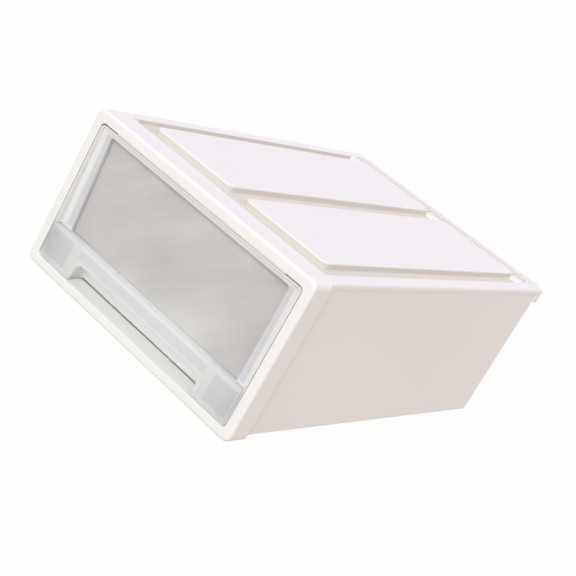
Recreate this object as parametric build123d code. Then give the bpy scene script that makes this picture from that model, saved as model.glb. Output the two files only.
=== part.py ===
from build123d import *
import os

# Stackable drawer box: a casing of six plastic mouldings that plug together, and one clear drawer.
# Millimetres. +Z is up and the drawer opens towards -Y. The origin is under the middle of the box,
# on the surface that it stands on.

os.makedirs("parts", exist_ok=True)

# Whole box
overall_width = 260.0
overall_depth = 399.0
frame_height = 148.0
front_y = -overall_depth / 2
rear_y = overall_depth / 2

# Fits between pieces, and how far a cut runs past the wall that it goes through
seat_fit = 0.1
butt_fit = 0.05
slide_gap = 0.3
cut_overrun = 0.5

# How near an edge must be to a plane to be taken as lying in it
edge_reach = 0.01

# Front frame
frame_depth = 23.0
frame_corner = 6.5
frame_wall = 2.3
frame_face = 2.6
frame_round = 3.0
mouth_wall = 2.0
mouth_corner = 4.5
mouth_round = 0.8
stile_width = 8.8
sill_height = 9.0
header_height = 9.6

# Guide pads on the frame's uprights and header: the drawer's front closes against the upright ones,
# and its ears stop against their rear
pad_rise = 5.0
pad_sill_gap = 24.8
pad_header_gap = 20.4
pad_reach = 19.0
pad_round = 1.0
header_pad_rise = 0.9
header_pad_end_gap = 20.2
header_pad_set_back = 0.8
header_pad_depth = 10.2

# Side, rear and base mouldings
panel_wall = 2.5
base_level = 4.6
base_wall = 2.2
base_flange_height = 9.5
base_flange_wall = 2.0
side_foot_round = 2.0
side_rear_round = 1.4
rear_overhang = 11.9
rear_rib_wall = 1.6
rear_rib_rise = 2.4
rear_rib_count = 5
runner_width = 2.6
runner_spacing = 62.0
runner_count = 4

# Top cover
band_height = 6.2
band_proud = 0.4
deck_wall = 2.2
cover_corner = 4.0
cover_round = 3.0
front_border = 5.0
side_border = 11.8
rear_border = 13.5
border_front_corner = 12.0
border_rear_corner = 4.0
border_round = 1.2
groove_depth = 3.6
groove_floor_wall = 2.0
front_groove = 14.6
rear_groove = 13.5
side_groove = 12.5
centre_groove = 16.5
panel_rise = 2.0
panel_corner = 6.5
panel_round = 1.8
tongue_length = 15.0
tongue_wall = 2.2
tongue_end_gap = 9.7
flange_drop = 15.2
flange_wall = 2.4
flange_round = 2.0
hold_down_wall = 2.0
hold_down_gap = 0.5

# Raised rail across the rear of the cover
rail_depth = 10.5
rail_step = 1.5
rail_end_gap = 3.8
rail_corner = 4.0
rail_round = 2.6

# Rear feet, and the seats that they stand on when another box is below
seat_length = 8.0
seat_rail_gap = 2.0
foot_length = 9.0
foot_side_room = 1.6
foot_round = 0.8

# Drawer front
front_side_gap = 1.0
front_top_gap = 1.4
front_foot_gap = 0.6
front_corner = 3.6
front_set_back = 0.7
bead_width = 1.4
plate_wall = 1.6
plate_top_depth = 3.3
plate_foot_depth = 7.4
window_recess = 5.0
window_side_border_top = 4.5
window_side_border_foot = 3.7
window_top_border = 5.6
window_corner = 3.0
fascia_set_back = 0.9
fascia_height = 32.5
ledge_round = 1.2

# Finger cut-out in the fascia, and the pull pocket behind it
cutout_end_margin = 39.6
cutout_lean = 1.8
cutout_rise = 18.2
cutout_corner = 9.0
lip_width = 2.8
lip_proud = 0.7
lip_round = 0.6
pocket_depth = 20.8
pocket_post_wall = 1.8

# Drawer body
tub_wall = 1.8
tub_side_gap_top = 8.8
tub_side_gap_foot = 11.9
tub_rear_gap_top = 9.6
tub_rear_gap_foot = 13.0
tub_corner = 9.0
tub_floor_round = 4.0
rim_drop = 0.7
rim_width = 5.0
rim_wall = 1.8
ear_length = 6.0
ear_height = 26.0
ear_clearance = 1.0
drawer_travel = 305.0
floor_rib_rise = 0.8
floor_rib_count = 6

# Sizes and places that follow from those above
half_width = overall_width / 2
mouth_half = half_width - stile_width
mouth_top = frame_height - header_height
mouth_height = mouth_top - sill_height
body_half = half_width - frame_wall - seat_fit
side_inner = body_half - panel_wall
body_rear_y = rear_y - rear_overhang
rear_inner_y = body_rear_y - panel_wall
panel_front_y = front_y + frame_face + seat_fit
frame_rear_y = front_y + frame_depth
base_top = base_level + base_wall
deck_level = frame_height
side_top = deck_level - band_height
groove_floor = deck_level - groove_depth
groove_underside = groove_floor - groove_floor_wall
cover_half = body_half + band_proud
cover_front_y = frame_rear_y + butt_fit
recess_half = body_half - side_border
recess_front_y = frame_rear_y + front_border
recess_rear_y = rear_y - rear_border
panel_half = recess_half - side_groove
panel_front_edge = recess_front_y + front_groove
panel_rear_edge = recess_rear_y - rear_groove
rail_rear_y = recess_rear_y + rail_step
rail_front_y = rail_rear_y - rail_depth
rail_half = recess_half - rail_end_gap
seat_rear_y = rail_front_y - seat_rail_gap
side_groove_x = (panel_half + recess_half) / 2
pad_inner = mouth_half - pad_rise
pad_low = sill_height + pad_sill_gap
pad_high = mouth_top - pad_header_gap
header_pad_half = mouth_half - header_pad_end_gap
pad_rear_y = front_y + pad_reach
header_pad_front_y = front_y + header_pad_set_back
front_half = mouth_half - front_side_gap
front_foot = sill_height + front_foot_gap
front_top = mouth_top - front_top_gap
bead_y = front_y + front_set_back
fascia_y = front_y + fascia_set_back
ledge_top = front_foot + fascia_height
tub_bottom = sill_height + slide_gap
rim_top = front_top - rim_drop
tub_half_top = mouth_half - tub_side_gap_top
tub_half_foot = mouth_half - tub_side_gap_foot
window_half_top = tub_half_top - window_side_border_top
window_half_foot = tub_half_foot - window_side_border_foot
cutout_half_foot = front_half - cutout_end_margin
cutout_half_top = cutout_half_foot - cutout_lean
tub_rear_top_y = rear_inner_y - tub_rear_gap_top
tub_rear_foot_y = rear_inner_y - tub_rear_gap_foot
rim_half = tub_half_top + rim_width
window_top = front_top - window_top_border
ear_front_y = pad_rear_y + drawer_travel + ear_clearance


def block(x_from, x_to, y_from, y_to, z_from, z_to):
    """A plain block between two corners."""
    middle = Pos((x_from + x_to) / 2, (y_from + y_to) / 2, (z_from + z_to) / 2)
    return middle * Box(x_to - x_from, y_to - y_from, z_to - z_from)


def mirrored_pair(piece):
    """The piece and its mirror image across the middle of the box."""
    return piece + piece.mirror(Plane.YZ)


def from_front(outline, y_from, y_to):
    """An outline in X and Z, made solid from one depth to another."""
    plane = Plane(origin=(0, y_to, 0), x_dir=(1, 0, 0), z_dir=(0, -1, 0))
    return extrude(plane * outline, amount=y_to - y_from)


def from_above(outline, z_from, z_to):
    """An outline in X and Y, made solid from one height to another."""
    return extrude(Pos(0, 0, z_from) * outline, amount=z_to - z_from)


def across(points, half):
    """A side profile of Y and Z points, made solid across the box."""
    profile = Plane.YZ * Polygon(*points, align=None)
    return extrude(profile, amount=half, both=True)


def upright_rectangle(half, z_from, z_to, corner):
    """A rounded rectangle in X and Z, centred on the box."""
    return Pos(0, (z_from + z_to) / 2) * RectangleRounded(2 * half, z_to - z_from, corner)


def flat_rectangle(x_from, x_to, y_from, y_to, corner):
    """A rounded rectangle in X and Y."""
    middle = Pos((x_from + x_to) / 2, (y_from + y_to) / 2)
    return middle * RectangleRounded(x_to - x_from, y_to - y_from, corner)


def evenly(count, spacing):
    """Places of a row centred on the box."""
    return [(index - (count - 1) / 2) * spacing for index in range(count)]


def edges_near(solid, axis, value):
    """The edges that lie in the plane where one coordinate has this value."""
    chosen = []
    for edge in solid.edges():
        box = edge.bounding_box()
        low = getattr(box.min, axis)
        high = getattr(box.max, axis)
        if abs(low - value) < edge_reach and abs(high - value) < edge_reach:
            chosen.append(edge)
    return ShapeList(chosen)


# ---------------------------------------------------------------- front frame

def plate_rear_y(height):
    """How far back the drawer's leaning plate reaches at a height."""
    lean = (plate_foot_depth - plate_top_depth) / (front_top - ledge_top)
    return front_y + plate_top_depth + plate_wall + (front_top - height) * lean


def guide_pads():
    """The pads on the uprights, behind the drawer's front, and the thin one under the header."""
    front_low = (plate_rear_y(pad_low) + slide_gap, pad_low)
    front_high = (plate_rear_y(pad_high) + slide_gap, pad_high)
    slab = across([front_low, front_high, (pad_rear_y, pad_high), (pad_rear_y, pad_low)], half_width)
    root = mouth_half + mouth_wall / 2
    upright_pad = slab & block(pad_inner, root, front_y, frame_rear_y, 0, frame_height)
    upright_pad = fillet(edges_near(upright_pad, "X", pad_inner), pad_round)
    header_pad = block(-header_pad_half, header_pad_half, header_pad_front_y,
                       header_pad_front_y + header_pad_depth,
                       mouth_top - header_pad_rise, mouth_top + mouth_wall / 2)
    return mirrored_pair(upright_pad) + header_pad


def front_frame():
    """The picture frame round the mouth, hollow behind its face to take the panels' front edges."""
    outline = upright_rectangle(half_width, 0, frame_height, frame_corner)
    outer = from_front(outline, front_y, frame_rear_y)
    mouth = upright_rectangle(mouth_half, sill_height, mouth_top, mouth_corner)
    outer = outer - from_front(mouth, front_y, frame_rear_y)
    outer = fillet(edges_near(outer, "Y", front_y).filter_by(is_on_outline), frame_round)
    outer = fillet(edges_near(outer, "Y", front_y).filter_by(is_on_mouth), mouth_round)
    channel_outer = upright_rectangle(half_width - frame_wall, frame_wall, frame_height - frame_wall,
                                      frame_corner - frame_wall)
    channel_inner = upright_rectangle(mouth_half + mouth_wall, sill_height - mouth_wall,
                                      mouth_top + mouth_wall, mouth_corner + mouth_wall)
    channel = from_front(channel_outer - channel_inner, front_y + frame_face, frame_rear_y)
    return outer - channel + guide_pads()


def is_on_outline(edge):
    """Whether an edge of the frame's face belongs to its outer outline."""
    middle = edge.center()
    outside = abs(middle.X) > mouth_half + mouth_wall
    below = middle.Z < sill_height - mouth_wall
    above = middle.Z > mouth_top + mouth_wall
    return outside or below or above


def is_on_mouth(edge):
    """Whether an edge of the frame's face belongs to the mouth."""
    middle = edge.center()
    within = abs(middle.X) <= mouth_half + edge_reach
    return within and sill_height - edge_reach <= middle.Z <= mouth_top + edge_reach


# ---------------------------------------------------------------- side, rear and base panels

def side_panel():
    """The right side: a plain wall, rounded under its foot and down its rear corner."""
    wall = block(side_inner, body_half, panel_front_y, body_rear_y, base_level, side_top - butt_fit)
    foot = edges_near(wall, "X", body_half).filter_by(is_at_side_foot)
    wall = fillet(foot, side_foot_round)
    rear = edges_near(wall, "X", body_half).filter_by(is_at_side_rear)
    return fillet(rear, side_rear_round)


def is_at_side_foot(edge):
    """Whether an edge of the side runs along its foot."""
    return edge.bounding_box().max.Z < base_level + edge_reach


def is_at_side_rear(edge):
    """Whether an edge of the side runs down its rear corner."""
    return edge.bounding_box().min.Y > body_rear_y - edge_reach


def rear_panel():
    """The back wall between the sides, stiffened inside by upright ribs."""
    half = side_inner - seat_fit
    foot = base_top + seat_fit
    head = groove_underside - seat_fit
    wall = block(-half, half, rear_inner_y, body_rear_y, foot, head)
    spacing = 2 * half / (rear_rib_count + 1)
    for place in evenly(rear_rib_count, spacing):
        wall += block(place - rear_rib_wall / 2, place + rear_rib_wall / 2,
                      rear_inner_y - rear_rib_rise, rear_inner_y, foot + base_flange_height, head)
    return wall


def rear_foot(middle, width):
    """One foot under the rear of the base."""
    y_to = seat_rear_y
    foot = block(middle - width / 2, middle + width / 2, y_to - foot_length, y_to, 0, base_level)
    return fillet(edges_near(foot, "Z", 0), foot_round)


def base_panel():
    """The floor, with a turned-up edge inside each side, runners for the drawer and three feet."""
    half = side_inner - seat_fit
    floor = block(-half, half, panel_front_y, body_rear_y, base_level, base_top)
    flange_front = frame_rear_y + seat_fit
    flange = block(half - base_flange_wall, half, flange_front, rear_inner_y - seat_fit,
                   base_top, base_top + base_flange_height)
    floor += mirrored_pair(flange)
    for place in evenly(runner_count, runner_spacing):
        floor += block(place - runner_width / 2, place + runner_width / 2,
                       flange_front, rear_inner_y - base_flange_height, base_top, sill_height)
    side_foot_width = side_groove - 2 * foot_side_room
    floor += rear_foot(side_groove_x, side_foot_width)
    floor += rear_foot(-side_groove_x, side_foot_width)
    floor += rear_foot(0, centre_groove - 2 * foot_side_room)
    return floor


# ---------------------------------------------------------------- top cover

def cover_outline(inset):
    """The cover seen from above: square at the frame, rounded at the rear."""
    half = cover_half - inset
    y_from = cover_front_y + inset
    y_to = rear_y - inset
    outline = Pos(0, (y_from + y_to) / 2) * Rectangle(2 * half, y_to - y_from)
    corners = outline.vertices().sort_by(Axis.Y)[-2:]
    return fillet(corners, cover_corner - inset)


def recess_outline(outset):
    """The recess round the panels seen from above, wide-cornered at the front."""
    half = recess_half + outset
    y_from = recess_front_y - outset
    y_to = recess_rear_y + outset
    outline = Pos(0, (y_from + y_to) / 2) * Rectangle(2 * half, y_to - y_from)
    outline = fillet(outline.vertices().sort_by(Axis.Y)[:2], border_front_corner + outset)
    return fillet(outline.vertices().group_by(Axis.Y)[-1], border_rear_corner + outset)


def rear_rail_outline(inset):
    """The rail across the rear of the recess seen from above."""
    half = rail_half - inset
    return flat_rectangle(-half, half, rail_front_y + inset, rail_rear_y - inset, rail_corner - inset)


def rear_rail():
    """The round-topped rail behind the panels, as high as they are."""
    rail = from_above(rear_rail_outline(0), groove_floor, deck_level + panel_rise)
    return fillet(edges_near(rail, "Z", deck_level + panel_rise), rail_round)


def raised_panel_outline(inset):
    """The right-hand raised panel seen from above."""
    return flat_rectangle(centre_groove / 2 + inset, panel_half - inset,
                          panel_front_edge + inset, panel_rear_edge - inset, panel_corner - inset)


def raised_panel():
    """One raised panel, from the floor of the groove round it to its own top."""
    panel = from_above(raised_panel_outline(0), groove_floor, deck_level + panel_rise)
    return fillet(edges_near(panel, "Z", deck_level + panel_rise), panel_round)


def foot_seats():
    """The low blocks across the grooves that carry the feet of a box on top."""
    y_from = seat_rear_y - seat_length
    reach = (side_groove - butt_fit) / 2
    seats = block(-centre_groove / 2, centre_groove / 2, y_from, seat_rear_y, groove_floor, deck_level)
    side_seat = block(side_groove_x - reach - butt_fit, side_groove_x + reach + butt_fit,
                      y_from, seat_rear_y, groove_floor, deck_level)
    return seats + mirrored_pair(side_seat)


def cover_top():
    """The deck's upper surface: borders, grooves, panels and seats, on a solid slab."""
    slab = from_above(cover_outline(0), side_top, deck_level)
    slab = fillet(edges_near(slab, "Z", deck_level).filter_by(is_on_cover_side), cover_round)
    slab -= from_above(recess_outline(0), groove_floor, deck_level + panel_rise)
    slab = fillet(edges_near(slab, "Z", deck_level).filter_by(is_on_recess), border_round)
    return slab + mirrored_pair(raised_panel()) + rear_rail() + foot_seats()


def is_on_cover_side(edge):
    """Whether a top edge of the slab lies along its sides or rear, not against the frame."""
    return edge.bounding_box().max.Y > cover_front_y + edge_reach


def is_on_recess(edge):
    """Whether a top edge of the slab belongs to the recess round the panels."""
    box = edge.bounding_box()
    across_it = box.max.X <= recess_half + edge_reach and box.min.X >= -recess_half - edge_reach
    along_it = box.min.Y >= recess_front_y - edge_reach and box.max.Y <= recess_rear_y + edge_reach
    return across_it and along_it


def cover_hollows():
    """What is hollow under the cover: inside the skirt, the borders and the panels."""
    hollows = from_above(cover_outline(deck_wall), side_top, groove_underside)
    wall = groove_floor_wall
    border = cover_outline(deck_wall + border_round) - recess_outline(wall)
    hollows += from_above(border, groove_underside, deck_level - deck_wall)
    raised_head = deck_level + panel_rise - deck_wall
    hollows += from_above(rear_rail_outline(wall), groove_underside, raised_head)
    return hollows + mirrored_pair(from_above(raised_panel_outline(wall), groove_underside, raised_head))


def rear_flange():
    """The skirt that hangs behind the rear panel, to lift the box by."""
    drop_from = deck_level - flange_drop
    skirt = from_above(cover_outline(0), drop_from, side_top)
    skirt = fillet(edges_near(skirt, "Z", drop_from), flange_round)
    skirt -= from_above(cover_outline(flange_wall), drop_from, side_top)
    return skirt & block(-half_width, half_width, body_rear_y + seat_fit, rear_y, drop_from, side_top)


def hold_down_rails():
    """Two ribs under the cover that keep an open drawer from tipping."""
    rail_outer = rim_half - rim_width / 4
    rail = block(rail_outer - hold_down_wall, rail_outer, frame_rear_y + front_border,
                 rear_inner_y - 2 * hold_down_wall, rim_top + hold_down_gap, groove_underside + seat_fit)
    return mirrored_pair(rail)


def top_cover():
    """The deck with its two raised panels, skirt, rear flange, rails and the tongue into the frame."""
    tongue_top = frame_height - frame_wall - seat_fit
    tongue_half = half_width - frame_wall - tongue_end_gap
    tongue = block(-tongue_half, tongue_half, frame_rear_y - tongue_length,
                   cover_front_y + deck_wall, tongue_top - tongue_wall, tongue_top)
    cover = cover_top() - cover_hollows()
    return cover + rear_flange() + hold_down_rails() + tongue


# ---------------------------------------------------------------- drawer

def tub_profile(inset):
    """The drawer's side profile: floor, pull pocket step, leaning front and leaning rear."""
    lower_front = front_y + pocket_depth + inset
    window_foot = front_y + plate_foot_depth + window_recess + inset
    window_head = front_y + plate_top_depth + window_recess + inset
    floor = tub_bottom + inset
    shelf = ledge_top - tub_wall + inset
    return [
        (lower_front, floor), (lower_front, shelf), (window_foot, shelf), (window_head, rim_top),
        (tub_rear_top_y - inset, rim_top), (tub_rear_foot_y - inset, floor),
    ]


def tub_body(inset):
    """The drawer's leaning walls as one block, drawn in by inset."""
    foot = tub_half_foot - inset
    head = tub_half_top - inset
    lengthways = across(tub_profile(inset), half_width)
    section = Polygon((-foot, tub_bottom + inset), (foot, tub_bottom + inset),
                      (head, rim_top), (-head, rim_top), align=None)
    body = lengthways & from_front(section, front_y, rear_y)
    body = fillet(body.edges().filter_by(is_rear_upright), tub_corner - inset)
    return fillet(edges_near(body, "Z", tub_bottom + inset), tub_floor_round - inset / 2)


def is_rear_upright(edge):
    """Whether an edge of the drawer's body is one of its two rear corners."""
    box = edge.bounding_box()
    return box.size.Z > ledge_top and box.min.Y > 0


def front_space(reach):
    """The room between the bead's face and a surface behind the leaning plate and the fascia."""
    head = front_y + plate_top_depth + reach
    foot = front_y + plate_foot_depth + reach
    fascia = fascia_y + reach
    step = ledge_top - reach
    return across([(bead_y, front_foot), (bead_y, front_top), (head, front_top), (foot, step),
                   (fascia, step), (fascia, front_foot)], half_width)


def front_shell():
    """The leaning plate and the fascia as one sheet, with the bead round their outline."""
    outline = upright_rectangle(front_half, front_foot, front_top, front_corner)
    inside = upright_rectangle(front_half - bead_width, front_foot + bead_width, front_top - bead_width,
                               front_corner - bead_width)
    whole = from_front(outline, bead_y, front_y + pocket_depth)
    inner = from_front(inside, bead_y, front_y + pocket_depth)
    sheet = whole & (front_space(plate_wall) - front_space(0))
    bead = (whole - inner) & front_space(plate_wall)
    return sheet + bead


def window_opening():
    """The opening in the leaning plate, deep enough to reach the recessed window."""
    opening = Polygon((-window_half_foot, ledge_top), (window_half_foot, ledge_top),
                      (window_half_top, window_top), (-window_half_top, window_top), align=None)
    opening = fillet(opening.vertices().sort_by(Axis.Y)[-2:], window_corner)
    room = front_space(window_recess)
    return from_front(opening, front_y, front_y + pocket_depth) & room


def window_surround():
    """The four-sided box between the plate and the recessed window, which the opening is cut from."""
    head = front_y + plate_top_depth
    foot = front_y + plate_foot_depth
    deep = window_recess + tub_wall
    slab = across([(head, front_top - plate_wall), (head + deep, front_top - plate_wall),
                   (foot + deep, ledge_top), (foot, ledge_top)], half_width)
    top_half = tub_half_top
    low_half = tub_half_foot + (tub_half_top - tub_half_foot) * ledge_top / front_top
    sides = Polygon((-low_half, ledge_top), (low_half, ledge_top), (top_half, front_top),
                    (-top_half, front_top), align=None)
    return slab & from_front(sides, front_y, front_y + pocket_depth)


def cutout_outline(outset):
    """The finger cut-out, open at the foot, or the edge of the lip round it."""
    foot = cutout_half_foot + outset
    head = cutout_half_top + outset
    top = front_foot + cutout_rise + outset
    outline = Polygon((-foot, 0), (foot, 0), (head, top), (-head, top), align=None)
    return fillet(outline.vertices().sort_by(Axis.Y)[-2:], cutout_corner + outset)


def cutout_lip():
    """The rolled lip round the finger cut-out."""
    lip_y = fascia_y - lip_proud
    lip = from_front(cutout_outline(lip_width) - cutout_outline(0), lip_y, fascia_y + plate_wall)
    lip = fillet(edges_near(lip, "Y", lip_y), lip_round)
    return lip & block(-half_width, half_width, lip_y, fascia_y + plate_wall, front_foot, ledge_top)


def pull_pocket():
    """The ledge over the pocket, its two end posts and the drawer's sides up to the fascia."""
    y_to = front_y + pocket_depth + tub_wall
    half = tub_half_foot + (tub_half_top - tub_half_foot) * ledge_top / front_top
    ledge = block(-half, half, fascia_y, y_to, ledge_top - tub_wall, ledge_top)
    ledge = fillet(edges_near(ledge, "Y", fascia_y).sort_by(Axis.Z)[-1], ledge_round)
    post_from = cutout_half_foot + lip_width
    post = block(post_from, post_from + pocket_post_wall, fascia_y + plate_wall / 2, y_to,
                 front_foot, ledge_top - tub_wall / 2)
    cheek = block(tub_half_foot - tub_wall, tub_half_foot, fascia_y + plate_wall / 2, y_to,
                  front_foot, ledge_top - tub_wall / 2)
    return ledge + mirrored_pair(post) + mirrored_pair(cheek)


def tub_rim():
    """The drawer's turned-out rim along both sides and the rear."""
    y_from = front_y + plate_top_depth + plate_wall / 2
    outer = Pos(0, (y_from + tub_rear_top_y + rim_width) / 2)
    outline = outer * Rectangle(2 * rim_half, tub_rear_top_y + rim_width - y_from)
    outline = fillet(outline.vertices().sort_by(Axis.Y)[-2:], tub_corner + rim_width)
    inner_half = tub_half_top - tub_wall / 2
    inner_to = tub_rear_top_y - tub_wall / 2
    inner = flat_rectangle(-inner_half, inner_half, y_from - 2 * tub_corner, inner_to, tub_corner)
    return from_above(outline - inner, rim_top - rim_wall, rim_top)


def stop_ears():
    """The ears on the drawer's sides that meet the frame's pads when it is pulled right out."""
    middle = (pad_low + pad_high) / 2
    ear = block(tub_half_foot, mouth_half - ear_clearance, ear_front_y, ear_front_y + ear_length,
                middle - ear_height / 2, middle + ear_height / 2)
    return mirrored_pair(ear)


def floor_ribs():
    """Low ribs across the inside of the drawer's floor."""
    inner = tub_bottom + tub_wall
    y_from = front_y + pocket_depth
    spacing = (tub_rear_foot_y - y_from) / (floor_rib_count + 1)
    half = tub_half_foot - tub_wall - tub_floor_round
    ribs = []
    for index in range(floor_rib_count):
        place = y_from + spacing * (index + 1)
        ribs.append(block(-half, half, place - tub_wall / 2, place + tub_wall / 2,
                          inner - tub_wall / 2, inner + floor_rib_rise))
    return ribs


def drawer():
    """The drawer in one moulding: body, rim, recessed window, fascia, pull pocket and stop ears."""
    shell = tub_body(0) + window_surround() + front_shell() + pull_pocket() + tub_rim() + stop_ears()
    shell -= tub_body(tub_wall)
    shell -= window_opening()
    shell -= from_front(cutout_outline(0), front_y, fascia_y + plate_wall + cut_overrun)
    return shell + cutout_lip() + floor_ribs()


right_side = side_panel()
pieces = {
    "front_frame": front_frame(),
    "top_cover": top_cover(),
    "base_panel": base_panel(),
    "right_side_panel": right_side,
    "left_side_panel": right_side.mirror(Plane.YZ),
    "rear_panel": rear_panel(),
    "drawer": drawer(),
}

for name, piece in pieces.items():
    export_step(piece, "parts/" + name + ".step")
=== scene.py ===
from math import pi, radians

import bmesh
import bpy
from mathutils import Matrix, Vector
from mathutils.bvhtree import BVHTree


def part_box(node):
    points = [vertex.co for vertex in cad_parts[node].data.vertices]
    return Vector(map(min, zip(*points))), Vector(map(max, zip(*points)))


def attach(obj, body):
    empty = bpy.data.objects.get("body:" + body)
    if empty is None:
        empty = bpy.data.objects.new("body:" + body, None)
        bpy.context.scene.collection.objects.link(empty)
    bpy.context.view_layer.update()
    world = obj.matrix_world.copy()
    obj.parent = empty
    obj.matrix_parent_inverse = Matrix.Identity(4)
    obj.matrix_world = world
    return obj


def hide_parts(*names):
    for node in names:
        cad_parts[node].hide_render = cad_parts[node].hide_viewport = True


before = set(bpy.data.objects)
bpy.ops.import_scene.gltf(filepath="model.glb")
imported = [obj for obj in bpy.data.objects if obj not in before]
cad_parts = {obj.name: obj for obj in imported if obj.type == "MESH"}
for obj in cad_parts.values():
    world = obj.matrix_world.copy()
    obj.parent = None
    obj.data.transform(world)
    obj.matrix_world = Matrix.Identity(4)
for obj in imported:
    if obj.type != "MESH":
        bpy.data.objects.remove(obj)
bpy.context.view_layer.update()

bl_info = {
    "name": "Stackable Drawer Box",
    "version": (1, 0, 0),
    "blender": (4, 5, 0),
    "location": "View3D > Sidebar > Drawer Box",
    "description": "Finishes the mouldings of a stackable drawer box and lights them in a small studio",
    "category": "Object",
}

# Points nearer than this are one point of a moulding, and faces flatter than this are one face
MERGE_DISTANCE = 1e-5
FLAT_ANGLE = radians(0.6)
ROUNDING_SEGMENTS = 2
MOST_CORNERS = 4

# The camera stands in front of the box, to its right and above it. It is turned to the left, tipped
# down and rolled to the left, so that the box leans to the right in the picture.
CAMERA_PLACE = (0.59702, -1.03644, 0.44979)
CAMERA_TURN = radians(30.2315)
CAMERA_DROP = radians(18.2238)
CAMERA_ROLL = radians(29.6294)
SENSOR_WIDTH = 36.0
FARTHEST_SEEN = 200.0

# The key lamp shines from the front, the right and above, and the top lamp straight down
KEY_TOWARDS = (-0.35, 1.0, -0.60)
KEY_SPREAD = radians(30)
TOP_TOWARDS = (0.0, 0.0, -1.0)
TOP_SPREAD = radians(80)

# How soon one zone of a moulding passes into the next
ZONE_EDGE = 0.0004

# The borders round the deck's grooves that get painted shade, measured in from the cover's outside. The front
# one takes in the groove behind the frame, which gets no painted shade, and the rear one is the raised rail.
SIDE_BORDER = 0.0120
FRONT_BORDER = 0.0190
REAR_BORDER = 0.0225

# How far below the top of a raised panel the painted shade on its wall starts, and how soon that shade is
# full
PANEL_EDGE = 0.0003
PANEL_FADE = 0.0012

# The depth of the rail's rounded front, which gets full painted shade, and the share of that shade on the
# rail's top
RAIL_FACE = 0.0022
RAIL_SHARE = 0.25

# The seats for the feet of the next box, which get no painted shade, measured in from the cover's rear
SEAT_FRONT = 0.0325
SEAT_REAR = 0.0245

# The drawer's front leans back towards its head. Its plate and its window lie this far behind its
# foremost point, once the lean is taken off.
FRONT_LEAN = 0.0436
PLATE_DEPTH = 0.0100
WINDOW_DEPTH = 0.0125

# The pull pocket lies between the fascia and the pocket's rear wall, and under the ledge. Depths are
# behind the drawer's foremost point, and heights are above the floor.
FASCIA_DEPTH = 0.0030
POCKET_WALL = 0.0175
POCKET_DEPTH = 0.0230
LEDGE_FOOT = 0.0415
LEDGE_TOP = 0.0424

# The thin fields of the fascia: the middle one lies between the ledge and the lip round the cut-out,
# and the others beside the end posts. Each border gives the place where a field starts to show and the
# place where it is full. The ends are measured from the drawer's middle.
FIELD_FRONT = (0.0040, 0.0035)
FIELD_HEAD = (0.0400, 0.0384)
MIDDLE_FIELD_END = (0.0825, 0.0800)
MIDDLE_FIELD_FOOT = (0.0300, 0.0312)
POST_FIELD_INNER_END = (0.0895, 0.0915)
POST_FIELD_OUTER_END = (0.1175, 0.1155)
POST_FIELD_FOOT = (0.0130, 0.0155)

# The strips beside the window end this far from the drawer's middle, and at these heights
STRIP_END = 0.1120
STRIP_FOOT = 0.0440
STRIP_HEAD = 0.1312
STRIP_FADE = 0.0015

# Noise patterns, as waves in a metre, octaves and roughness, and how some are stretched
CLOUDS = (7.0, 3.0, 0.55)
GRAIN = (1400.0, 1.0, 0.4)
FLOW = (26.0, 4.0, 0.6)
FLOW_STRETCH = (1.0, 0.22, 1.0)
RUBS = (60.0, 6.0, 0.62)
HAZE = (11.0, 3.0, 0.5)
CLEAR_GRAIN = (1100.0, 1.0, 0.4)
CLEAR_FLOW = (30.0, 5.0, 0.62)
CLEAR_FLOW_STRETCH = (1.0, 0.12, 0.3)
STREAKS = (1.0, 4.0, 0.55)
STREAK_STRETCH = (5.0, 5.0, 38.0)
STREAK_SLANT = radians(40)
DRIFT = (14.0, 2.0, 0.5)
FLOOR_MOTTLE = (1.5, 2.0, 0.5)

# Where a pattern starts to show and where it is full, each with its grey
CLOUD_RANGE = ((0.36, 0.0), (0.66, 1.0))
RUB_RANGE = ((0.56, 0.0), (0.74, 1.0))
STREAK_RANGE = ((0.38, 0.0), (0.64, 1.0))

# How patterns are mixed: the share of the first of two
CLOUDS_OVER_FLOW = 0.7
GRAIN_OVER_FLOW = 0.75
FLOW_OVER_GRAIN = 0.7
STREAKS_OVER_DRIFT = 0.6

# The white plastic: its darkest and palest tone, how patchy the painted shade in its grooves is, and what
# changes its gloss
WHITE_DARK = 0.985
WHITE_PALE = 1.005
SHADE_PATCHINESS = 0.3
CLOUD_ROUGHNESS = 0.06
GRAIN_ROUGHNESS = 0.05
RUB_POLISH = 0.08
GROOVE_ROUGHNESS = 0.2
WHITE_REFLECTION = 0.40

# The clear plastic: its window's darkest and palest tone, and what haze and flow lines do to it
WINDOW_DARK = 0.89
WINDOW_PALE = 1.08
HAZE_WHITENING = 0.06
HAZE_MILKINESS = 0.10
FLOW_MILKINESS = 0.06
HAZE_ROUGHNESS = 0.05
FLOW_ROUGHNESS = 0.10

# How strongly both plastics bend light, the floor's darkest tone, and plain white
PLASTIC_IOR = 1.49
FLOOR_DARK = 0.995
WHITE = (1.0, 1.0, 1.0, 1.0)

# Rays that see the floor and the world as white: straight ones, mirrored ones and those through plastic
SEEN_RAYS = ("Is Camera Ray", "Is Glossy Ray", "Is Transmission Ray")


# ---------------------------------------------------------------- material kit

class Socket:
    """A number inside a material, with ordinary arithmetic that adds Math nodes."""

    def __init__(self, recipe, link):
        self.recipe = recipe
        self.link = link

    def _math(self, operation, first, second=0.0):
        return self.recipe.add("ShaderNodeMath", {"operation": operation}, {0: first, 1: second})

    def __add__(self, other):
        return self._math("ADD", self, other)

    __radd__ = __add__

    def __sub__(self, other):
        return self._math("SUBTRACT", self, other)

    def __rsub__(self, other):
        return self._math("SUBTRACT", other, self)

    def __mul__(self, other):
        return self._math("MULTIPLY", self, other)

    __rmul__ = __mul__

    def __abs__(self):
        return self._math("ABSOLUTE", self)

    def larger_of(self, other):
        return self._math("MAXIMUM", self, other)


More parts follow.
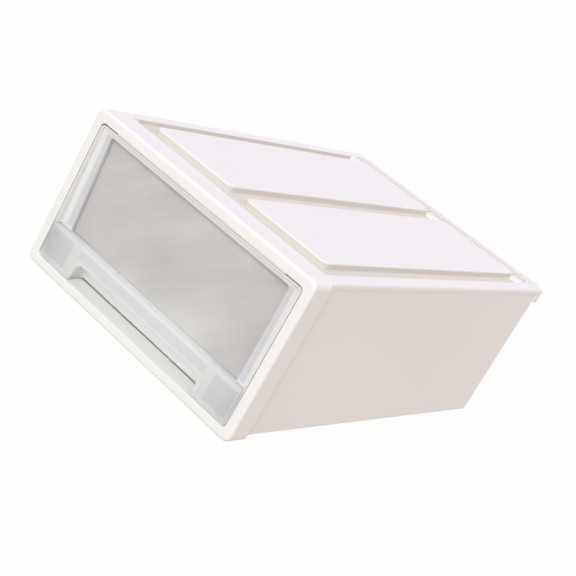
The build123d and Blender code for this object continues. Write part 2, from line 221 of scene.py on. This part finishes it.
class Recipe:
    """The nodes of a new material or of the world."""

    def __init__(self, owner):
        self.owner = owner
        owner.use_nodes = True
        self.tree = owner.node_tree
        self.tree.nodes.clear()

    def add(self, kind, settings=None, inputs=None, output=0):
        """Adds a node: its settings first, then its sockets' values or links.

        Returns one of its outputs, all of them for "all", or nothing where it has none.
        """
        node = self.tree.nodes.new(kind)
        for key, value in (settings or {}).items():
            if key == "stops":
                self.set_stops(node.color_ramp, value)
            else:
                setattr(node, key, value)
        for key, value in (inputs or {}).items():
            if isinstance(value, Socket):
                self.tree.links.new(value.link, node.inputs[key])
            else:
                node.inputs[key].default_value = value
        if output == "all":
            return [Socket(self, link) for link in node.outputs]
        return Socket(self, node.outputs[output]) if node.outputs else None

    @staticmethod
    def set_stops(ramp, stops):
        for element, (place, grey) in zip(ramp.elements, stops):
            element.position = place
            element.color = (grey, grey, grey, 1.0)

    def place(self):
        """Where a point lies on the box, in metres."""
        return self.add("ShaderNodeTexCoord", output="Object")

    def coordinates(self):
        """The same place as three numbers: across, along and up."""
        return self.add("ShaderNodeSeparateXYZ", {}, {"Vector": self.place()}, "all")

    def stretched(self, scale):
        """The place on the box, stretched along each axis."""
        return self.add("ShaderNodeMapping", {}, {"Vector": self.place(), "Scale": scale})

    def slanted(self, slant, scale):
        """The place on the box, turned about the line from front to rear and then stretched."""
        turned = self.add("ShaderNodeMapping", {}, {"Vector": self.place(), "Rotation": (0.0, slant, 0.0)})
        return self.add("ShaderNodeMapping", {}, {"Vector": turned, "Scale": scale})

    def noise(self, pattern, where=None):
        scale, octaves, roughness = pattern
        place = where or self.place()
        inputs = {"Vector": place, "Scale": scale, "Detail": octaves, "Roughness": roughness}
        return self.add("ShaderNodeTexNoise", {}, inputs, "Fac")

    def ramp_between(self, value, zero_at, one_at):
        """Rises from zero to one as a value goes from one bound to the other."""
        inputs = {"Value": value, "From Min": zero_at, "From Max": one_at, "To Min": 0.0, "To Max": 1.0}
        return self.add("ShaderNodeMapRange", {"clamp": True}, inputs)

    def ramp(self, factor, stops):
        """Greys between the stops of a ramp."""
        return self.add("ShaderNodeValToRGB", {"stops": stops}, {"Fac": factor})

    def blend(self, factor, first, second):
        """A colour between two others."""
        inputs = {"Factor": factor, 6: first, 7: second}
        return self.add("ShaderNodeMix", {"data_type": "RGBA"}, inputs, 2)

    def bump(self, height, distance):
        return self.add("ShaderNodeBump", {}, {"Height": height, "Distance": distance}, "Normal")

    def seen_share(self):
        """One for rays that should see white, and zero for those that carry light to the box."""
        straight, mirrored, through = [self.add("ShaderNodeLightPath", output=ray) for ray in SEEN_RAYS]
        return straight.larger_of(mirrored.larger_of(through))

    def finish(self, surface, kind="ShaderNodeOutputMaterial"):
        self.add(kind, {}, {"Surface": surface})
        return self.owner


def shade(colour, factor=1.0):
    """A colour made lighter or darker, as red, green, blue and alpha."""
    return (*[min(1.0, channel * factor) for channel in colour], 1.0)


# ---------------------------------------------------------------- white plastic

def groove_shade_share(recipe):
    """Painted shade: one in the grooves round the raised panels and on the rail's front, and zero on the
    seats.
    """
    across, along, height = recipe.coordinates()
    low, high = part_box("top_cover")
    side = high[0] - SIDE_BORDER
    front = low[1] + FRONT_BORDER
    rail = high[1] - REAR_BORDER
    seat = high[1] - SEAT_FRONT
    panel = high[2] - PANEL_EDGE
    between_sides = recipe.ramp_between(abs(across), side + ZONE_EDGE, side)
    behind_front = recipe.ramp_between(along, front - ZONE_EDGE, front)
    before_rail = recipe.ramp_between(along, rail + ZONE_EDGE, rail)
    under_panel = recipe.ramp_between(height, panel, panel - PANEL_FADE)
    on_seat = recipe.ramp_between(along, seat - ZONE_EDGE, seat)
    on_seat = on_seat * recipe.ramp_between(along, rail, high[1] - SEAT_REAR)
    in_groove = behind_front * before_rail * under_panel * (1.0 - on_seat)
    # Painted shade: the rail's rounded front gets all of it, and the rail's top a share
    rail_face = recipe.ramp_between(along, rail - ZONE_EDGE, rail)
    rail_face = rail_face * recipe.ramp_between(along, rail + RAIL_FACE + ZONE_EDGE, rail + RAIL_FACE)
    on_rail = recipe.ramp_between(along, rail, rail + ZONE_EDGE) * RAIL_SHARE
    return between_sides * (in_groove + rail_face + on_rail)


def casing_plastic(settings):
    """White polypropylene: a fine moulded grain, faint clouding, a little handling wear, and painted shade in
    the deck's grooves and on the rail's front.
    """
    recipe = Recipe(bpy.data.materials.new("white_moulding"))
    clouds = recipe.noise(CLOUDS)
    grain = recipe.noise(GRAIN)
    flow = recipe.noise(FLOW, recipe.stretched(FLOW_STRETCH))
    rubs = recipe.ramp(recipe.noise(RUBS), RUB_RANGE)
    tone = recipe.ramp(clouds * CLOUDS_OVER_FLOW + flow * (1.0 - CLOUDS_OVER_FLOW), CLOUD_RANGE)
    plastic = recipe.blend(tone, shade(settings.colour, WHITE_DARK), shade(settings.colour, WHITE_PALE))
    # Painted shade: the grooves and the rail's front are darkened towards the shade colour, patchily with the
    # clouds, and made a little rougher there
    patches = 1.0 - SHADE_PATCHINESS / 2 + clouds * SHADE_PATCHINESS
    groove_shade = groove_shade_share(recipe) * settings.groove_shade_amount * patches
    roughness = settings.roughness + clouds * CLOUD_ROUGHNESS + grain * GRAIN_ROUGHNESS
    relief = grain * GRAIN_OVER_FLOW + flow * (1.0 - GRAIN_OVER_FLOW)
    inputs = {
        "Base Color": recipe.blend(groove_shade, plastic, shade(settings.groove_shade_colour)),
        "Roughness": roughness - rubs * RUB_POLISH + groove_shade * GROOVE_ROUGHNESS,
        "Normal": recipe.bump(relief, settings.grain_depth),
        "IOR": PLASTIC_IOR,
        "Specular IOR Level": WHITE_REFLECTION,
    }
    return recipe.finish(recipe.add("ShaderNodeBsdfPrincipled", {}, inputs))


# ---------------------------------------------------------------- clear plastic

def fascia_fields(recipe):
    """One on the thinner fields of the fascia, and zero on its bands, its ledge and its lip."""
    across, along, height = recipe.coordinates()
    aside = abs(across)
    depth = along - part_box("drawer")[0][1]
    middle = recipe.ramp_between(aside, *MIDDLE_FIELD_END)
    middle = middle * recipe.ramp_between(height, *MIDDLE_FIELD_FOOT)
    beside_post = recipe.ramp_between(aside, *POST_FIELD_INNER_END)
    beside_post = beside_post * recipe.ramp_between(aside, *POST_FIELD_OUTER_END)
    beside_post = beside_post * recipe.ramp_between(height, *POST_FIELD_FOOT)
    on_front = recipe.ramp_between(depth, *FIELD_FRONT)
    return (middle + beside_post) * on_front * recipe.ramp_between(height, *FIELD_HEAD)


def window_borders(recipe):
    """The inner strips beside the window, and the outer border that the casing's pads stand behind."""
    across, _, height = recipe.coordinates()
    aside = abs(across)
    above_ledge = recipe.ramp_between(height, STRIP_FOOT, STRIP_FOOT + STRIP_FADE)
    under_head = recipe.ramp_between(height, STRIP_HEAD + STRIP_FADE, STRIP_HEAD)
    strips = recipe.ramp_between(aside, STRIP_END + STRIP_FADE, STRIP_END) * above_ledge * under_head
    border = recipe.ramp_between(aside, STRIP_END, STRIP_END + STRIP_FADE) * above_ledge
    return strips, border + recipe.ramp_between(height, STRIP_HEAD, STRIP_HEAD + STRIP_FADE)


def front_zones(recipe):
    """One on the front's mouldings, in the pull pocket, and on the thin walls round that pocket."""
    _, along, height = recipe.coordinates()
    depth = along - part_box("drawer")[0][1]
    front = recipe.ramp_between(depth + height * FRONT_LEAN, WINDOW_DEPTH, PLATE_DEPTH)
    behind_fascia = recipe.ramp_between(depth, FASCIA_DEPTH, FASCIA_DEPTH + ZONE_EDGE)
    before_rear = recipe.ramp_between(depth, POCKET_DEPTH + ZONE_EDGE, POCKET_DEPTH)
    under_ledge = recipe.ramp_between(height, LEDGE_FOOT + ZONE_EDGE, LEDGE_FOOT)
    round_pocket = recipe.ramp_between(height, LEDGE_TOP + ZONE_EDGE, LEDGE_TOP)
    round_pocket = round_pocket * recipe.ramp_between(depth, POCKET_WALL + ZONE_EDGE, POCKET_WALL)
    return front, behind_fascia * before_rear * under_ledge, round_pocket


def window_tint(recipe, settings):
    """The window's tint, with slanting streaks that drift in and out."""
    streaks = recipe.noise(STREAKS, recipe.slanted(STREAK_SLANT, STREAK_STRETCH))
    pattern = streaks * STREAKS_OVER_DRIFT + recipe.noise(DRIFT) * (1.0 - STREAKS_OVER_DRIFT)
    dark = shade(settings.window_colour, WINDOW_DARK)
    pale = shade(settings.window_colour, WINDOW_PALE)
    return recipe.blend(recipe.ramp(pattern, STREAK_RANGE), dark, pale)


def drawer_plastic(settings):
    """Milky clear polypropylene: it scatters part of the light, glows with part and shows the rest."""
    recipe = Recipe(bpy.data.materials.new("clear_moulding"))
    haze = recipe.noise(HAZE)
    flow = recipe.noise(CLEAR_FLOW, recipe.stretched(CLEAR_FLOW_STRETCH))
    grain = recipe.noise(CLEAR_GRAIN)
    normal = recipe.bump(flow * FLOW_OVER_GRAIN + grain * (1.0 - FLOW_OVER_GRAIN), settings.flow_depth)
    front, pocket, round_pocket = front_zones(recipe)
    strips, border = window_borders(recipe)
    fields = fascia_fields(recipe) + strips * settings.strip_share

    front_tint = recipe.blend(border, shade(settings.colour), shade(settings.border_colour))
    front_tint = recipe.blend(fields, front_tint, shade(settings.field_colour))
    tint = recipe.blend(front, window_tint(recipe, settings), front_tint)
    # Painted light: the pull pocket's walls take a paler tint that lifts their shade
    tint = recipe.blend(pocket, tint, shade(settings.pocket_painted_light_colour))

    on_front = settings.front_milkiness + (1.0 - fields) * settings.band_milkiness
    milkiness = settings.milkiness + front * on_front + pocket * settings.pocket_milkiness
    milkiness = milkiness + (haze - 0.5) * HAZE_MILKINESS + (flow - 0.5) * FLOW_MILKINESS

    solid_inputs = {
        "Base Color": recipe.blend(haze * HAZE_WHITENING, tint, WHITE),
        "Roughness": settings.roughness + flow * FLOW_ROUGHNESS + haze * HAZE_ROUGHNESS,
        "Normal": normal,
        "IOR": PLASTIC_IOR,
    }
    solid = recipe.add("ShaderNodeBsdfPrincipled", {}, solid_inputs)
    glow = recipe.add("ShaderNodeBsdfTranslucent", {}, {"Color": shade(settings.colour), "Normal": normal})
    clear = recipe.add("ShaderNodeBsdfTransparent", {}, {"Color": shade(settings.clear_colour)})
    glow_share = settings.glow + round_pocket * settings.pocket_glow
    milky = recipe.add("ShaderNodeMixShader", {}, {0: glow_share, 1: solid, 2: glow})
    return recipe.finish(recipe.add("ShaderNodeMixShader", {}, {0: milkiness, 1: clear, 2: milky}))


# ---------------------------------------------------------------- pieces

def settle_points(shape, surface, reach):
    """Puts points that a bevel threw off the moulding's surface back on it."""
    for point in shape.verts:
        nearest, _, _, distance = surface.find_nearest(point.co)
        if distance > reach:
            point.co = nearest


def finished_moulding(name, node, body, material, settings):
    """A copy of a CAD moulding with its points merged, its sharp edges rounded and smooth shading."""
    shape = bmesh.new()
    shape.from_mesh(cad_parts[node].data)
    bmesh.ops.remove_doubles(shape, verts=shape.verts, dist=MERGE_DISTANCE)
    bmesh.ops.dissolve_limit(shape, angle_limit=FLAT_ANGLE, verts=shape.verts, edges=shape.edges)
    surface = BVHTree.FromBMesh(shape)
    sharp = [edge for edge in shape.edges
             if edge.is_manifold and edge.calc_face_angle() > settings.sharp_angle]
    bmesh.ops.bevel(shape, geom=sharp, offset=settings.edge_round, offset_type="OFFSET", affect="EDGES",
                    segments=ROUNDING_SEGMENTS, profile=0.5, material=-1, clamp_overlap=False)
    settle_points(shape, surface, settings.edge_round)
    bmesh.ops.triangulate(shape, faces=[face for face in shape.faces if len(face.verts) > MOST_CORNERS])
    for face in shape.faces:
        face.smooth = True
    mesh = bpy.data.meshes.new(name)
    shape.to_mesh(mesh)
    shape.free()
    mesh.materials.append(material)
    piece = bpy.data.objects.new(name, mesh)
    piece.modifiers.new("even_shading", "WEIGHTED_NORMAL")
    bpy.context.scene.collection.objects.link(piece)
    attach(piece, body)
    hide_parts(node)


def casing_piece(name, node):
    """One of the white mouldings. All of them share the material that the first one makes."""
    settings = bpy.context.scene.drawer_box_casing
    material = bpy.data.materials.get("white_moulding") or casing_plastic(settings)
    finished_moulding(name, node, "casing", material, settings)


# ---------------------------------------------------------------- stage

def floor_material(settings):
    """A pale floor that looks white to the camera, in reflections and through clear plastic."""
    recipe = Recipe(bpy.data.materials.new("studio_floor"))
    pale = recipe.blend(recipe.noise(FLOOR_MOTTLE), shade(settings.floor_colour, FLOOR_DARK),
                        shade(settings.floor_colour))
    inputs = {"Base Color": pale, "Roughness": 1.0, "Specular IOR Level": 0.0}
    paper = recipe.add("ShaderNodeBsdfPrincipled", {}, inputs)
    white = recipe.add("ShaderNodeEmission", {}, {"Color": WHITE, "Strength": 1.0})
    share = recipe.seen_share() * settings.floor_whiteness
    return recipe.finish(recipe.add("ShaderNodeMixShader", {}, {0: share, 1: paper, 2: white}))


def add_floor(settings):
    shape = bmesh.new()
    bmesh.ops.create_grid(shape, x_segments=1, y_segments=1, size=settings.floor_size)
    mesh = bpy.data.meshes.new("studio_floor")
    shape.to_mesh(mesh)
    shape.free()
    mesh.materials.append(floor_material(settings))
    floor = bpy.data.objects.new("studio_floor", mesh)
    bpy.context.scene.collection.objects.link(floor)


def add_sun(name, strength, colour, spread, towards):
    """A soft lamp far away, shining in one direction."""
    lamp = bpy.data.lights.new(name, "SUN")
    lamp.energy = strength
    lamp.color = colour
    lamp.angle = spread
    holder = bpy.data.objects.new(name, lamp)
    holder.rotation_mode = "QUATERNION"
    holder.rotation_quaternion = Vector(towards).to_track_quat("-Z", "Y")
    bpy.context.scene.collection.objects.link(holder)


def studio_world(settings):
    """An even world light that looks white where it is seen."""
    recipe = Recipe(bpy.data.worlds.new("studio"))
    light_inputs = {"Color": shade(settings.sky_colour), "Strength": settings.sky_light}
    light = recipe.add("ShaderNodeBackground", {}, light_inputs)
    white = recipe.add("ShaderNodeBackground", {}, {"Color": WHITE, "Strength": 1.0})
    both = recipe.add("ShaderNodeMixShader", {}, {0: recipe.seen_share(), 1: light, 2: white})
    return recipe.finish(both, "ShaderNodeOutputWorld")


def add_lights(settings):
    scene = bpy.context.scene
    scene.world = studio_world(settings)
    add_sun("key", settings.key_light, settings.key_colour, KEY_SPREAD, KEY_TOWARDS)
    add_sun("top", settings.top_light, settings.top_colour, TOP_SPREAD, TOP_TOWARDS)
    scene.view_settings.view_transform = "Standard"


def add_camera(settings):
    data = bpy.data.cameras.new("camera")
    data.lens = settings.focal_length
    data.sensor_width = SENSOR_WIDTH
    data.clip_end = FARTHEST_SEEN
    camera = bpy.data.objects.new("camera", data)
    turn = Matrix.Rotation(CAMERA_TURN, 4, "Z")
    drop = Matrix.Rotation(pi / 2 - CAMERA_DROP, 4, "X")
    roll = Matrix.Rotation(CAMERA_ROLL, 4, "Z")
    camera.matrix_world = Matrix.Translation(CAMERA_PLACE) @ turn @ drop @ roll
    bpy.context.scene.collection.objects.link(camera)
    bpy.context.scene.camera = camera


# ---------------------------------------------------------------- settings

class DrawerBoxCasing(bpy.types.PropertyGroup):
    colour: bpy.props.FloatVectorProperty(
        name="Colour", description="Colour of the white mouldings", subtype="COLOR", size=3,
        min=0.0, max=1.0, default=(0.93, 0.91, 0.895))
    roughness: bpy.props.FloatProperty(
        name="Roughness", description="How matt the white plastic is", subtype="FACTOR",
        min=0.0, max=1.0, default=0.42)
    grain_depth: bpy.props.FloatProperty(
        name="Grain depth", description="Depth of the moulded grain", subtype="DISTANCE", unit="LENGTH",
        min=0.0, max=0.001, precision=6, default=0.00003)
    # Painted shade: how strongly the deck's grooves and the rail's front are darkened towards the shade
    # colour
    groove_shade_amount: bpy.props.FloatProperty(
        name="Groove dust", description="How far the dust in the deck's grooves covers the plastic",
        subtype="FACTOR", min=0.0, max=1.0, default=0.8)
    # Painted shade: the darker, warmer colour painted into the deck's grooves and on the rail's front
    groove_shade_colour: bpy.props.FloatVectorProperty(
        name="Dust colour", description="Colour of the dust in the deck's grooves",
        subtype="COLOR", size=3, min=0.0, max=1.0, default=(0.74, 0.69, 0.61))
    edge_round: bpy.props.FloatProperty(
        name="Edge rounding", description="Width of the rounding along sharp edges",
        subtype="DISTANCE", unit="LENGTH", min=0.0, max=0.001, precision=5, default=0.00025)
    sharp_angle: bpy.props.FloatProperty(
        name="Sharp angle", description="Edges with a larger angle than this are rounded",
        subtype="ANGLE", unit="ROTATION", min=0.0, max=pi, default=radians(60))


class DrawerBoxDrawer(bpy.types.PropertyGroup):
    colour: bpy.props.FloatVectorProperty(
        name="Colour", description="Tint of the light that the plastic scatters", subtype="COLOR", size=3,
        min=0.0, max=1.0, default=(0.955, 0.96, 0.95))
    # Painted light: a paler, warmer tint on the pull pocket's walls that lifts the shade in the pocket
    pocket_painted_light_colour: bpy.props.FloatVectorProperty(
        name="Pocket colour", description="Tint of the light that the pull pocket's walls scatter",
        subtype="COLOR", size=3, min=0.0, max=1.0, default=(1.0, 0.975, 0.95))
    field_colour: bpy.props.FloatVectorProperty(
        name="Field colour", description="Tint of the light that the thin fields of the fascia scatter",
        subtype="COLOR", size=3, min=0.0, max=1.0, default=(0.88, 0.87, 0.93))
    border_colour: bpy.props.FloatVectorProperty(
        name="Border colour", description="Tint of the light that the outer border of the front scatters",
        subtype="COLOR", size=3, min=0.0, max=1.0, default=(1.0, 0.985, 0.965))
    window_colour: bpy.props.FloatVectorProperty(
        name="Window colour", description="Tint of the light that the thin window scatters",
        subtype="COLOR", size=3, min=0.0, max=1.0, default=(0.915, 0.88, 0.868))
    clear_colour: bpy.props.FloatVectorProperty(
        name="Clear colour", description="Tint of what is seen through the plastic",
        subtype="COLOR", size=3, min=0.0, max=1.0, default=(0.985, 0.97, 0.965))
    roughness: bpy.props.FloatProperty(
        name="Roughness", description="How frosted the clear plastic is", subtype="FACTOR",
        min=0.0, max=1.0, default=0.25)
    milkiness: bpy.props.FloatProperty(
        name="Milkiness", description="Share of the light that each surface scatters",
        subtype="FACTOR", min=0.0, max=1.0, default=0.60)
    front_milkiness: bpy.props.FloatProperty(
        name="Front milkiness", description="What the thicker plastic round the window adds to that share",
        subtype="FACTOR", min=0.0, max=1.0, default=0.19)
    band_milkiness: bpy.props.FloatProperty(
        name="Band milkiness", description="What the bands between the fascia's fields add to that share",
        subtype="FACTOR", min=0.0, max=1.0, default=0.11)
    pocket_milkiness: bpy.props.FloatProperty(
        name="Pocket milkiness", description="What the walls of the pull pocket add to that share",
        subtype="FACTOR", min=0.0, max=1.0, default=0.40)
    strip_share: bpy.props.FloatProperty(
        name="Strip share", description="How far the strips beside the window look like the fascia's fields",
        subtype="FACTOR", min=0.0, max=1.0, default=0.9)
    glow: bpy.props.FloatProperty(
        name="Glow", description="Share of the scattered light that goes on through the plastic",
        subtype="FACTOR", min=0.0, max=1.0, default=0.12)
    pocket_glow: bpy.props.FloatProperty(
        name="Pocket glow", description="What the thin walls round the pull pocket add to the glow",
        subtype="FACTOR", min=0.0, max=1.0, default=0.42)
    flow_depth: bpy.props.FloatProperty(
        name="Flow depth", description="Depth of the flow lines left by the moulding",
        subtype="DISTANCE", unit="LENGTH", min=0.0, max=0.001, precision=6, default=0.00004)
    edge_round: bpy.props.FloatProperty(
        name="Edge rounding", description="Width of the rounding along sharp edges",
        subtype="DISTANCE", unit="LENGTH", min=0.0, max=0.001, precision=5, default=0.0003)
    sharp_angle: bpy.props.FloatProperty(
        name="Sharp angle", description="Edges with a larger angle than this are rounded",
        subtype="ANGLE", unit="ROTATION", min=0.0, max=pi, default=radians(60))


class DrawerBoxStage(bpy.types.PropertyGroup):
    floor_colour: bpy.props.FloatVectorProperty(
        name="Floor colour", description="Colour of the studio floor", subtype="COLOR", size=3,
        min=0.0, max=1.0, default=(0.74, 0.655, 0.56))
    floor_whiteness: bpy.props.FloatProperty(
        name="Floor whiteness", description="How far the floor is lifted to white where it is seen",
        subtype="FACTOR", min=0.0, max=1.0, default=0.97)
    floor_size: bpy.props.FloatProperty(
        name="Floor size", description="Half the width of the floor", subtype="DISTANCE", unit="LENGTH",
        min=1.0, default=40.0)
    sky_light: bpy.props.FloatProperty(
        name="Sky light", description="Strength of the even light from all around", min=0.0, default=0.50)
    sky_colour: bpy.props.FloatVectorProperty(
        name="Sky colour", description="Tint of the even light from all around", subtype="COLOR", size=3,
        min=0.0, max=1.0, default=(1.0, 0.90, 0.84))
    key_light: bpy.props.FloatProperty(
        name="Key light", description="Strength of the soft lamp in front of the box", min=0.0, default=1.645)
    key_colour: bpy.props.FloatVectorProperty(
        name="Key colour", description="Tint of the soft lamp in front of the box", subtype="COLOR", size=3,
        min=0.0, max=1.0, default=(0.82, 0.98, 1.0))
    top_light: bpy.props.FloatProperty(
        name="Top light", description="Strength of the wide lamp overhead", min=0.0, default=0.945)
    top_colour: bpy.props.FloatVectorProperty(
        name="Top colour", description="Tint of the wide lamp overhead", subtype="COLOR", size=3,
        min=0.0, max=1.0, default=(0.786, 0.70, 1.0))
    focal_length: bpy.props.FloatProperty(
        name="Focal length", description="Focal length of the camera in millimetres on a 36 mm sensor",
        subtype="DISTANCE_CAMERA", unit="CAMERA", min=10.0, default=86.23)


# ---------------------------------------------------------------- operators

class DRAWERBOX_OT_front_frame(bpy.types.Operator):
    """Finish the picture frame round the mouth"""
    bl_idname = "drawer_box.front_frame"
    bl_label = "Front Frame"

    def execute(self, context):
        casing_piece("frame_moulding", "front_frame")
        return {"FINISHED"}


class DRAWERBOX_OT_top_cover(bpy.types.Operator):
    """Finish the deck with its raised panels"""
    bl_idname = "drawer_box.top_cover"
    bl_label = "Top Cover"

    def execute(self, context):
        casing_piece("cover_moulding", "top_cover")
        return {"FINISHED"}


class DRAWERBOX_OT_walls(bpy.types.Operator):
    """Finish the two sides, the rear wall and the base"""
    bl_idname = "drawer_box.walls"
    bl_label = "Walls and Base"

    def execute(self, context):
        casing_piece("right_side_moulding", "right_side_panel")
        casing_piece("left_side_moulding", "left_side_panel")
        casing_piece("rear_moulding", "rear_panel")
        casing_piece("base_moulding", "base_panel")
        return {"FINISHED"}


class DRAWERBOX_OT_drawer(bpy.types.Operator):
    """Finish the clear drawer"""
    bl_idname = "drawer_box.drawer"
    bl_label = "Drawer"

    def execute(self, context):
        settings = context.scene.drawer_box_drawer
        material = drawer_plastic(settings)
        finished_moulding("drawer_moulding", "drawer", "drawer", material, settings)
        return {"FINISHED"}


class DRAWERBOX_OT_stage(bpy.types.Operator):
    """Set up the floor, the lights and the camera"""
    bl_idname = "drawer_box.stage"
    bl_label = "Stage"

    def execute(self, context):
        settings = context.scene.drawer_box_stage
        add_floor(settings)
        add_lights(settings)
        add_camera(settings)
        return {"FINISHED"}


class DRAWERBOX_PT_sidebar(bpy.types.Panel):
    """The sizes, colours and buttons of the drawer box"""
    bl_label = "Drawer Box"
    bl_idname = "DRAWERBOX_PT_sidebar"
    bl_space_type = "VIEW_3D"
    bl_region_type = "UI"
    bl_category = "Drawer Box"

    def draw(self, context):
        for title, group in GROUPS.items():
            box = self.layout.box()
            box.label(text=title)
            settings = getattr(context.scene, group)
            for key in settings.bl_rna.properties.keys():
                if key not in ("rna_type", "name"):
                    box.prop(settings, key)
        for operator in OPERATORS:
            self.layout.operator(operator.bl_idname)


GROUPS = {"Casing": "drawer_box_casing", "Drawer": "drawer_box_drawer", "Stage": "drawer_box_stage"}
OPERATORS = (DRAWERBOX_OT_front_frame, DRAWERBOX_OT_top_cover, DRAWERBOX_OT_walls,
             DRAWERBOX_OT_drawer, DRAWERBOX_OT_stage)
CLASSES = (DrawerBoxCasing, DrawerBoxDrawer, DrawerBoxStage, *OPERATORS, DRAWERBOX_PT_sidebar)


def register():
    for cls in CLASSES:
        bpy.utils.register_class(cls)
    bpy.types.Scene.drawer_box_casing = bpy.props.PointerProperty(type=DrawerBoxCasing)
    bpy.types.Scene.drawer_box_drawer = bpy.props.PointerProperty(type=DrawerBoxDrawer)
    bpy.types.Scene.drawer_box_stage = bpy.props.PointerProperty(type=DrawerBoxStage)


def unregister():
    for group in GROUPS.values():
        delattr(bpy.types.Scene, group)
    for cls in reversed(CLASSES):
        bpy.utils.unregister_class(cls)


def main():
    register()
    bpy.ops.drawer_box.front_frame()
    bpy.ops.drawer_box.top_cover()
    bpy.ops.drawer_box.walls()
    bpy.ops.drawer_box.drawer()
    bpy.ops.drawer_box.stage()


if __name__ == "__main__":
    main()
